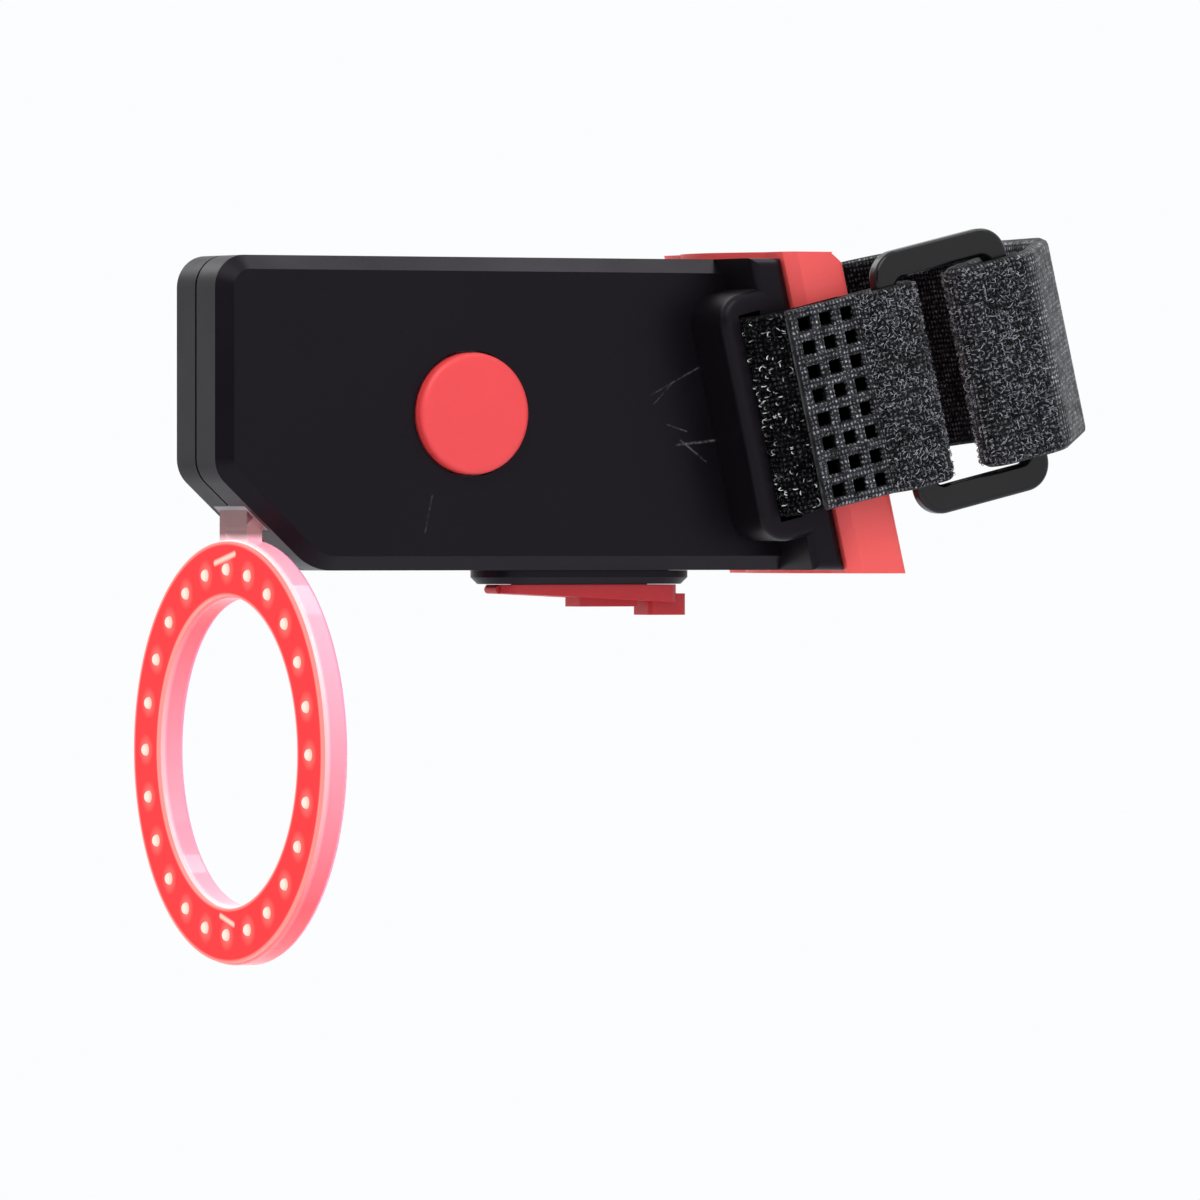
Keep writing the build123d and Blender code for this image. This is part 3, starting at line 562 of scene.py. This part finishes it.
def strap_route(sizes):
    """Centre line of the long strap: head, far side, round the post, round the buckle's bar and back."""
    thick = sizes.thick / MM
    mid_r = POST_R + STRAP_GAP + thick / 2
    outer_r = mid_r + thick + OUTER_GAP
    leave = math.radians(LEAVE_ANGLE)
    start = Vector((mid_r * math.cos(leave), -mid_r * math.sin(leave)))
    heading = Vector((-math.sin(leave), -math.cos(leave)))
    corner = start + heading * ((OVER_BUCKLE_Y + start.y) / math.cos(leave))
    first = rounded_route(
        [(-STRAP_END, -NEAR_STRAP_Y), (SLOT_X, -NEAR_STRAP_Y), (SLOT_X, mid_r), (0, mid_r)],
        [STRAP_BEND_R, STRAP_BEND_R])
    second = rounded_route(
        [start, corner, (STAND_OFF_X, -OVER_BUCKLE_Y), (outer_r, -STAND_OFF_Y), (outer_r, 0)],
        [TURN_R, STAND_OFF_R, STAND_OFF_R])
    whole = first + arc(mid_r, 90, -LEAVE_ANGLE) + second + arc(outer_r, 0, 90)
    whole.append(Vector((-TAIL_END, outer_r)))
    clean = [whole[0]]
    for point in whole[1:]:
        if (point - clean[-1]).length > 0.01:
            clean.append(point)
    return evened(clean, ROUTE_STEP)


def tab_route(sizes):
    """Centre line of the tab folded round the buckle's rear bar."""
    thick = sizes.tab_thick / MM
    strap_top = NEAR_STRAP_Y + sizes.thick / MM / 2 + TAB_GAP + thick / 2
    outer = BUCKLE_Y + BUCKLE_THICK / 2 + TAB_GAP + thick / 2
    inner = BUCKLE_Y - BUCKLE_THICK / 2 - TAB_GAP - thick / 2
    points = rounded_route(
        [(-TAB_START, -strap_top), (-TAB_SLOPE_START, -strap_top), (-TAB_SLOPE_END, -outer),
         (-TAB_FOLD, -outer), (-TAB_FOLD, -inner), (-STRAP_END + TAB_GAP * 4, -inner)],
        [TAB_SLOPE_R, TAB_SLOPE_R, TAB_FOLD_R, TAB_FOLD_R])
    return evened(points, TAB_STEP)


def place_on(route, x, y):
    """How far along a route the point nearest to a place lies."""
    near = min(range(len(route)), key=lambda n: (route[n] - Vector((x, y))).length)
    return sum((b - a).length for a, b in zip(route[:near], route[1:near + 1]))


def tape(name, route, width, thick, columns, outer_sink, waver, tone_at):
    """A woven tape along a route: two faces, rounded selvedges, closed ends, UVs in metres and a tone
    that carries painted shade, going black in deep pits.
    """
    mesh = bmesh.new()
    uv = mesh.loops.layers.uv.new("tape")
    tone = mesh.verts.layers.float.new("tone")
    places = [width / 2 * (2 * k / columns - 1) for k in range(columns + 1)]
    count = len(route)
    rings = []
    along = 0.0
    drift = random.Random(name)
    edge_waves = [(drift.uniform(2.5, 7.0), drift.uniform(0, 6.3)) for _ in range(3)]
    for i, here in enumerate(route):
        ahead = route[min(i + 1, count - 1)] - route[max(i - 1, 0)]
        way = ahead.normalized()
        out = Vector((way.y, -way.x))
        if i:
            along += (here - route[i - 1]).length
        wave = sum(math.sin(along / w + p) for w, p in edge_waves) * waver / 3
        ring = []
        for face in (1, -1):
            for v in (places if face > 0 else places[::-1]):
                edge = min(1.0, (width / 2 - abs(v)) / (thick * 0.5))
                round_off = math.sqrt(max(0.0, 1 - (1 - edge) ** 2))
                lift = thick / 2 * (0.25 + 0.75 * round_off)
                sink = outer_sink(along, v) if face > 0 else 0.0
                lift -= sink
                spread = v + (wave if abs(v) > width / 2 - thick else wave * 0.3)
                place = here + out * lift * face
                vert = mesh.verts.new(post_point(place.x, place.y, spread))
                # Painted shade: the tone fades to black where the face sinks into deep pits.
                vert[tone] = tone_at(along, face) * (1.0 - min(1.0, max(0.0, (sink - 0.2) / 0.25)))
                ring.append((vert, along, v))
        rings.append(ring)
    for a, b in zip(rings, rings[1:]):
        n = len(a)
        for k in range(n):
            m = (k + 1) % n
            face = mesh.faces.new((a[k][0], a[m][0], b[m][0], b[k][0]))
            for loop, corner in zip(face.loops, (a[k], a[m], b[m], b[k])):
                loop[uv].uv = (corner[1] * MM, corner[2] * MM)
    mesh.faces.new([corner[0] for corner in reversed(rings[0])])
    mesh.faces.new([corner[0] for corner in rings[-1]])
    bmesh.ops.triangulate(mesh, faces=[f for f in mesh.faces if len(f.verts) > 4])
    bmesh.ops.recalc_face_normals(mesh, faces=mesh.faces)
    return mesh_object(name, mesh)


def mesh_object(name, mesh, smooth=True):
    """Turns a bmesh into an object in the scene."""
    data = bpy.data.meshes.new(name)
    mesh.to_mesh(data)
    mesh.free()
    if smooth:
        data.polygons.foreach_set("use_smooth", [True] * len(data.polygons))
    made = bpy.data.objects.new(name, data)
    bpy.context.scene.collection.objects.link(made)
    return made


def weld_sink(along, v):
    """Depth of the tab's face below its plane: three columns of eight square pits from the weld."""
    pitch_along, pitch_across = 2.2, 2.15
    first_along, plane_drop, depth, half_pit, slope = 1.5, 0.12, 0.48, 0.72, 0.2
    if along > first_along + 2.55 * pitch_along:
        return 0.0
    a = (along - first_along) / pitch_along
    b = v / pitch_across + 0.5
    if a < -0.5 or abs(b - 0.5) > 4:
        return plane_drop
    far = max(abs(a - round(a)) * pitch_along, abs(b - round(b)) * pitch_across)
    return plane_drop + depth * min(1.0, max(0.0, (half_pit - far) / slope))


def curl(mesh, foot, out, lean, height, span, wire, closed):
    """One thread loop or hook standing on the tape, as a thin three-sided tube."""
    sides, steps = 3, 5
    side = out.cross(lean).normalized()
    rings = []
    sweep = math.pi if closed else math.pi * 0.8
    for k in range(steps + 1):
        turn = sweep * k / steps
        centre = foot + lean * (-math.cos(turn) * span / 2) + out * (math.sin(turn) * height)
        tangent = lean * math.sin(turn) + out * math.cos(turn)
        across_way = tangent.cross(side).normalized()
        ring = []
        for s in range(sides):
            a = 2 * math.pi * s / sides
            ring.append(mesh.verts.new(centre + (side * math.cos(a) + across_way * math.sin(a)) * wire))
        rings.append(ring)
    for a, b in zip(rings, rings[1:]):
        for s in range(sides):
            mesh.faces.new((a[s], a[(s + 1) % sides], b[(s + 1) % sides], b[s]))
    mesh.faces.new(rings[0][::-1])
    mesh.faces.new(rings[-1])


def pile(name, route, width, thick, spans, density, seed, face=1, height=LOOP_HEIGHT,
         wire=LOOP_WIRE, closed=True):
    """Loops or hooks scattered on the outer face of a tape, over given stretches of its route."""
    mesh = bmesh.new()
    draw = random.Random(seed)
    lengths = [0.0]
    for a, b in zip(route, route[1:]):
        lengths.append(lengths[-1] + (b - a).length)
    for start, end in spans:
        count = int((end - start) * width / CM2 * density)
        for _ in range(count):
            along = draw.uniform(start, end)
            v = draw.uniform(-width / 2 + PILE_MARGIN, width / 2 - PILE_MARGIN)
            k = min(len(route) - 2, int(along / lengths[-1] * (len(route) - 1)))
            way = (route[k + 1] - route[k]).normalized()
            out2 = Vector((way.y, -way.x)) * face
            here = route[k] + out2 * (thick / 2 - PILE_SUNK)
            foot = post_point(here.x, here.y, v)
            out = (post_point(here.x + out2.x, here.y + out2.y, v) - foot).normalized()
            tape_way = (post_point(here.x + way.x, here.y + way.y, v) - foot).normalized()
            cross_way = out.cross(tape_way)
            turn = draw.uniform(0, 2 * math.pi)
            lean = tape_way * math.cos(turn) + cross_way * math.sin(turn)
            tall = height * draw.uniform(*HEIGHT_SHARES) * MM
            span = draw.uniform(*LOOP_SPANS) * MM
            curl(mesh, foot, out, lean, tall, span, wire * MM, closed)
    return mesh_object(name, mesh)


class LAMP_OT_shells(bpy.types.Operator):
    """Finish the moulded black parts"""
    bl_idname = "lamp.shells"
    bl_label = "Shells, bezel and screws"

    def execute(self, context):
        colours = context.scene.lamp_colours
        black = scratched_abs(colours)
        dress(black, "near_shell", "far_shell", "port_bezel")
        screw = metal("black_zinc_screw_steel", "4A4A4E", 0.38)
        dress(screw, "housing_screws")
        return {"FINISHED"}


class LAMP_OT_rubber(bpy.types.Operator):
    """Finish the button, saddle, port cover and seals"""
    bl_idname = "lamp.rubber"
    bl_label = "Button, saddle and port cover"

    def execute(self, context):
        colours = context.scene.lamp_colours
        # Moulded silicone: a soft skin with a dull shine, light just gets under its surface.
        dress(moulded("moulded_red_silicone_button", colours.button, 0.46, 0.2, 0.01, subsurface=0.15),
              "power_button")
        dress(moulded("moulded_red_silicone_saddle", colours.pad, 0.42, 0.25, 0.02, subsurface=0.15),
              "post_pad")
        dress(moulded("moulded_red_silicone_cover", colours.plug, 0.5, 0.25, 0.02, subsurface=0.1),
              "port_plug")
        dress(moulded("moulded_grey_silicone_seal", "8E8E92", 0.5, 0.3, 0.02),
              "shell_seal", "guide_seal", "button_seal")
        return {"FINISHED"}


class LAMP_OT_ring(bpy.types.Operator):
    """Light up the ring"""
    bl_idname = "lamp.ring"
    bl_label = "Lit ring and dots"

    def execute(self, context):
        colours = context.scene.lamp_colours
        dress(clear_acrylic(colours), "light_guide")
        dress(lit_face(colours), "ring_face")
        mesh = bmesh.new()
        low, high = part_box("ring_face")
        rear = low[0]
        for n in range(DOT_COUNT):
            turn = 2 * math.pi * n / DOT_COUNT
            y = DOT_CIRCLE_R * MM * math.cos(turn)
            z = RING_CENTRE_Z * MM + DOT_CIRCLE_R * MM * math.sin(turn)
            rings = []
            for share, rise in DOT_PROFILE:
                ring = []
                for k in range(DOT_SIDES):
                    a = 2 * math.pi * k / DOT_SIDES
                    ring.append(mesh.verts.new((
                        rear - rise * MM, y + DOT_R * DOT_FIT * share * MM * math.cos(a),
                        z + DOT_R * DOT_FIT * share * MM * math.sin(a))))
                rings.append(ring)
            for a, b in zip(rings, rings[1:]):
                for k in range(DOT_SIDES):
                    m = (k + 1) % DOT_SIDES
                    mesh.faces.new((a[k], a[m], b[m], b[k]))
            mesh.faces.new(rings[0][::-1])
            mesh.faces.new(rings[-1])
        bmesh.ops.recalc_face_normals(mesh, faces=mesh.faces)
        dots = mesh_object("light_dots", mesh)
        dots.data.materials.append(lit_dot(colours))
        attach(dots, LAMP_BODY)
        return {"FINISHED"}


class LAMP_OT_strap(bpy.types.Operator):
    """Weave the strap, its tab and its hook patch"""
    bl_idname = "lamp.strap"
    bl_label = "Strap and tab"

    def execute(self, context):
        sizes = context.scene.lamp_strap
        colours = context.scene.lamp_colours
        nylon = loop_nylon(colours)
        loop_thread = thread_nylon("drawn_nylon_loops", "0A0A0C", "D2D2DC", 0.50, 0.40)
        hook_thread = thread_nylon("drawn_nylon_hooks", "08080A", "FFFFFF", 0.40, 0.20)
        width, thick = sizes.width / MM, sizes.thick / MM
        route = strap_route(sizes)
        crease = place_on(route, STAND_OFF_X, -OVER_BUCKLE_Y)
        turn = place_on(route, TURN_X, -OVER_BUCKLE_Y)

        def strap_shade_and_sheen(along, face):
            """Painted shade on the hook side in the slot and towards the post,
            painted sheen on the smooth outer run.
            """
            # Painted shade: dark in the slot's recess and between the strap and the post.
            if along < SLOT_RUN_END or (face > 0 and along < turn - TURN_RUN_IN):
                return SHADE_TONE
            # Painted sheen: the smooth outer run past the crease is lighter.
            return 1.0 if along < crease else PALE_WELD_AND_SHEEN_TONE

        long_strap = tape("strap_weave", route, width, thick, 56, lambda a, v: 0.0, 0.10, strap_shade_and_sheen)
        tab_line = tab_route(sizes)
        tab = tape("tab_weave", tab_line, width, sizes.tab_thick / MM, 130, weld_sink, 0.08,
                   lambda along, face: PALE_WELD_AND_SHEEN_TONE if along < WELD_END else 1.0)
        mid_r = POST_R + STRAP_GAP + thick + OUTER_GAP / 2
        patch_line = arc(mid_r, PATCH_ANGLE, 90) + [Vector((-TAIL_END, mid_r))]
        patch = tape("hook_patch_weave", evened(patch_line, PATCH_STEP), width - PATCH_MARGIN,
                     sizes.patch_thick / MM, 20, lambda a, v: 0.0, 0.05, lambda along, face: 1.0)
        for piece, node in ((long_strap, "strap"), (tab, "strap_tab"), (patch, "strap_hook_patch")):
            piece.data.materials.append(nylon)
            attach(piece, LAMP_BODY)
            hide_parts(node)
        hooks = pile("slot_hooks", route, width, thick, [HOOK_SPAN], HOOK_DENSITY, HOOK_SEED,
                     face=-1, height=HOOK_HEIGHT, wire=HOOK_WIRE, closed=False)
        loops = pile("strap_loops", route, width, thick,
                     [(turn - PILE_RUN_IN, crease)], sizes.loops_per_cm, STRAP_LOOP_SEED)
        tab_loops = pile("tab_loops", tab_line, width, sizes.tab_thick / MM,
                         [TAB_PILE_SPAN], sizes.loops_per_cm, TAB_LOOP_SEED)
        for piece, thread in ((hooks, hook_thread), (loops, loop_thread), (tab_loops, loop_thread)):
            piece.data.materials.append(thread)
            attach(piece, LAMP_BODY)
        return {"FINISHED"}


class LAMP_OT_buckle(bpy.types.Operator):
    """Finish the buckle"""
    bl_idname = "lamp.buckle"
    bl_label = "Buckle"

    def execute(self, context):
        # Moulded acetal: harder and glossier than the shells, with a clean highlight on its bars.
        dress(moulded("moulded_black_acetal", "0C0B0D", 0.2, 0.3, 0.005, specular=0.34), "buckle")
        return {"FINISHED"}


class LAMP_OT_inside(bpy.types.Operator):
    """Finish the pieces inside the body"""
    bl_idname = "lamp.inside"
    bl_label = "Board, cell and socket"

    def execute(self, context):
        dress(moulded("green_solder_mask", "0F5A2E", 0.3, 0.4, 0.01), "circuit_board")
        dress(moulded("white_solder_mask", "E8E8E2", 0.35, 0.4, 0.01), "led_board")
        dress(moulded("moulded_epoxy", "1C1C1E", 0.5, 0.2, 0.01),
              "controller_chip", "charger_chip", "switch_body", "usb_tongue")
        dress(moulded("fired_ceramic", "A07A50", 0.45, 0.2, 0.01), "board_components")
        dress(moulded("moulded_white_nylon", "E6E4DC", 0.4, 0.2, 0.01), "switch_plunger")
        dress(moulded("lamp_silicone", "F2C14E", 0.25, 0.2, 0.005), "leds")
        dress(moulded("closed_cell_foam", "4A4A4E", 0.85, 0.5, 0.08), "battery_pad")
        dress(moulded("extruded_pvc_wire", "B01018", 0.4, 0.4, 0.01), "battery_wires", "led_wires")
        dress(metal("laminated_cell_foil", "C9CACC", 0.32), "battery_cell")
        dress(metal("nickel_plated_steel", "B9B9BC", 0.3), "usb_socket")
        dress(metal("gold_plated_contact", "D9A441", 0.28), "usb_contacts")
        return {"FINISHED"}


class LAMP_OT_stage(bpy.types.Operator):
    """Set the floor, the lights and the camera"""
    bl_idname = "lamp.stage"
    bl_label = "Stage"

    def execute(self, context):
        scene = context.scene
        low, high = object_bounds()
        floor_z = low[2] - FLOOR_DROP
        mesh = bmesh.new()
        bmesh.ops.create_grid(
            mesh, x_segments=FLOOR_SEGMENTS, y_segments=FLOOR_SEGMENTS, size=FLOOR_HALF)
        floor = mesh_object("pale_floor", mesh, smooth=False)
        floor.location = (0, 0, floor_z)
        made, tree = blank("pale_paper")
        where = add(tree, "ShaderNodeTexCoord").outputs["Object"]
        fibre = add(tree, "ShaderNodeTexNoise", {"Vector": where, "Scale": per(3.0), "Detail": 3.0})
        tone = add(tree, "ShaderNodeMix", {
            0: fibre.outputs[0], 6: linear("F4F5F7"), 7: linear("FAFBFD")}, data_type="RGBA")
        paper = add(tree, "ShaderNodeBsdfPrincipled", {"Base Color": tone.outputs[2], "Roughness": 0.9})
        white = add(tree, "ShaderNodeEmission", {"Color": linear("FCFDFE"), "Strength": 1.0})
        path = add(tree, "ShaderNodeLightPath")
        seen = add(tree, "ShaderNodeMath", {
            0: path.outputs["Is Camera Ray"], 1: path.outputs["Is Transmission Ray"]}, operation="MAXIMUM")
        share = add(tree, "ShaderNodeMath", {0: seen.outputs[0], 1: 0.55}, operation="MULTIPLY")
        both = add(tree, "ShaderNodeMixShader", {
            0: share.outputs[0], 1: paper.outputs[0], 2: white.outputs[0]})
        close(tree, both.outputs[0])
        floor.data.materials.append(made)
        floor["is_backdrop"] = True
        self.light_room(scene)
        self.place_camera(scene)
        return {"FINISHED"}

    def light_room(self, scene):
        """A white room, brighter to the eye than to the object, three soft lamps and a small hard one."""
        world = bpy.data.worlds.new("white_room")
        world.use_nodes = True
        tree = world.node_tree
        tree.nodes.clear()
        path = add(tree, "ShaderNodeLightPath")
        seen = add(tree, "ShaderNodeMath", {
            0: path.outputs["Is Camera Ray"], 1: path.outputs["Is Transmission Ray"]}, operation="MAXIMUM")
        eye = add(tree, "ShaderNodeMath", {
            0: seen.outputs[0], 1: path.outputs["Is Glossy Ray"]}, operation="MAXIMUM")
        room = add(tree, "ShaderNodeBackground", {"Color": linear("F2F5FA"), "Strength": 0.70})
        white = add(tree, "ShaderNodeBackground", {"Color": linear("FCFDFE"), "Strength": 1.0})
        both = add(tree, "ShaderNodeMixShader", {0: eye.outputs[0], 1: room.outputs[0], 2: white.outputs[0]})
        # A dark flat stands to the left of the camera, where only the body's bevels and edges reflect it.
        view = add(tree, "ShaderNodeTexCoord").outputs["Generated"]
        left = math.radians(90 - CAMERA_TURN)
        facing = add(tree, "ShaderNodeVectorMath", {
            0: view, 1: (-math.sin(left), -math.cos(left), 0.0)}, operation="DOT_PRODUCT")
        flat = add(tree, "ShaderNodeMapRange", {
            "Value": facing.outputs["Value"], "From Min": 0.80, "From Max": 0.95,
            "To Min": 0.0, "To Max": 0.9})
        mirrored = add(tree, "ShaderNodeMath", {
            0: flat.outputs[0], 1: path.outputs["Is Glossy Ray"]}, operation="MULTIPLY")
        dark = add(tree, "ShaderNodeBackground", {"Color": linear("101014"), "Strength": 1.0})
        both = add(tree, "ShaderNodeMixShader", {
            0: mirrored.outputs[0], 1: both.outputs[0], 2: dark.outputs[0]})
        add(tree, "ShaderNodeOutputWorld", {"Surface": both.outputs[0]})
        scene.world = world
        lamps = (
            ("key_softbox", (-0.9, -0.9, 1.1), 0.9, 8.0),
            ("rim_lamp", (-0.45, -0.75, 1.3), 0.10, 2.6),
            ("top_softbox", (0.55, 0.05, 1.15), 0.5, 2.2),
            ("back_softbox", (-0.4, 1.0, 0.8), 0.8, 4.0),
        )
        for name, place, size, power in lamps:
            data = bpy.data.lights.new(name, "AREA")
            data.size = size
            data.energy = power
            lamp = bpy.data.objects.new(name, data)
            lamp.location = place
            lamp.rotation_euler = (-Vector(place)).to_track_quat("-Z", "Y").to_euler()
            scene.collection.objects.link(lamp)

    def place_camera(self, scene):
        """The photograph's viewing direction and distance, framed on the light alone."""
        turn, lift = math.radians(CAMERA_TURN), math.radians(CAMERA_LIFT)
        target = Vector(CAMERA_TARGET) * MM
        away = Vector((-math.sin(turn) * math.cos(lift), -math.cos(turn) * math.cos(lift), math.sin(lift)))
        data = bpy.data.cameras.new("camera")
        data.sensor_width = SENSOR_MM
        data.lens = SENSOR_MM * FOCAL_PX / WINDOW_PX
        data.clip_end = 20.0
        camera = bpy.data.objects.new("camera", data)
        camera.location = target + away * CAMERA_RANGE
        camera.rotation_euler = (-away).to_track_quat("-Z", "Y").to_euler()
        scene.collection.objects.link(camera)
        scene.camera = camera


class LAMP_PT_panel(bpy.types.Panel):
    """Lists the steps that dress the light"""
    bl_label = "Rear light"
    bl_idname = "LAMP_PT_panel"
    bl_space_type = "VIEW_3D"
    bl_region_type = "UI"
    bl_category = "Rear light"

    def draw(self, context):
        for group in (context.scene.lamp_strap, context.scene.lamp_colours):
            for name in group.__annotations__:
                self.layout.prop(group, name)
        for step in STEPS:
            self.layout.operator(step.bl_idname)


STEPS = (LAMP_OT_shells, LAMP_OT_rubber, LAMP_OT_ring, LAMP_OT_strap, LAMP_OT_buckle, LAMP_OT_inside,
         LAMP_OT_stage)
CLASSES = (StrapSizes, LampColours) + STEPS + (LAMP_PT_panel,)


def register():
    """Registers the classes and hangs the settings on the scene."""
    for one in CLASSES:
        bpy.utils.register_class(one)
    bpy.types.Scene.lamp_strap = bpy.props.PointerProperty(type=StrapSizes)
    bpy.types.Scene.lamp_colours = bpy.props.PointerProperty(type=LampColours)


def unregister():
    """Takes the settings and the classes away again."""
    del bpy.types.Scene.lamp_colours
    del bpy.types.Scene.lamp_strap
    for one in reversed(CLASSES):
        bpy.utils.unregister_class(one)


def main():
    """Dresses the whole light."""
    register()
    bpy.context.scene.view_settings.view_transform = "Standard"
    bpy.ops.lamp.shells()
    bpy.ops.lamp.rubber()
    bpy.ops.lamp.ring()
    bpy.ops.lamp.strap()
    bpy.ops.lamp.buckle()
    bpy.ops.lamp.inside()
    bpy.ops.lamp.stage()


if __name__ == "__main__":
    main()
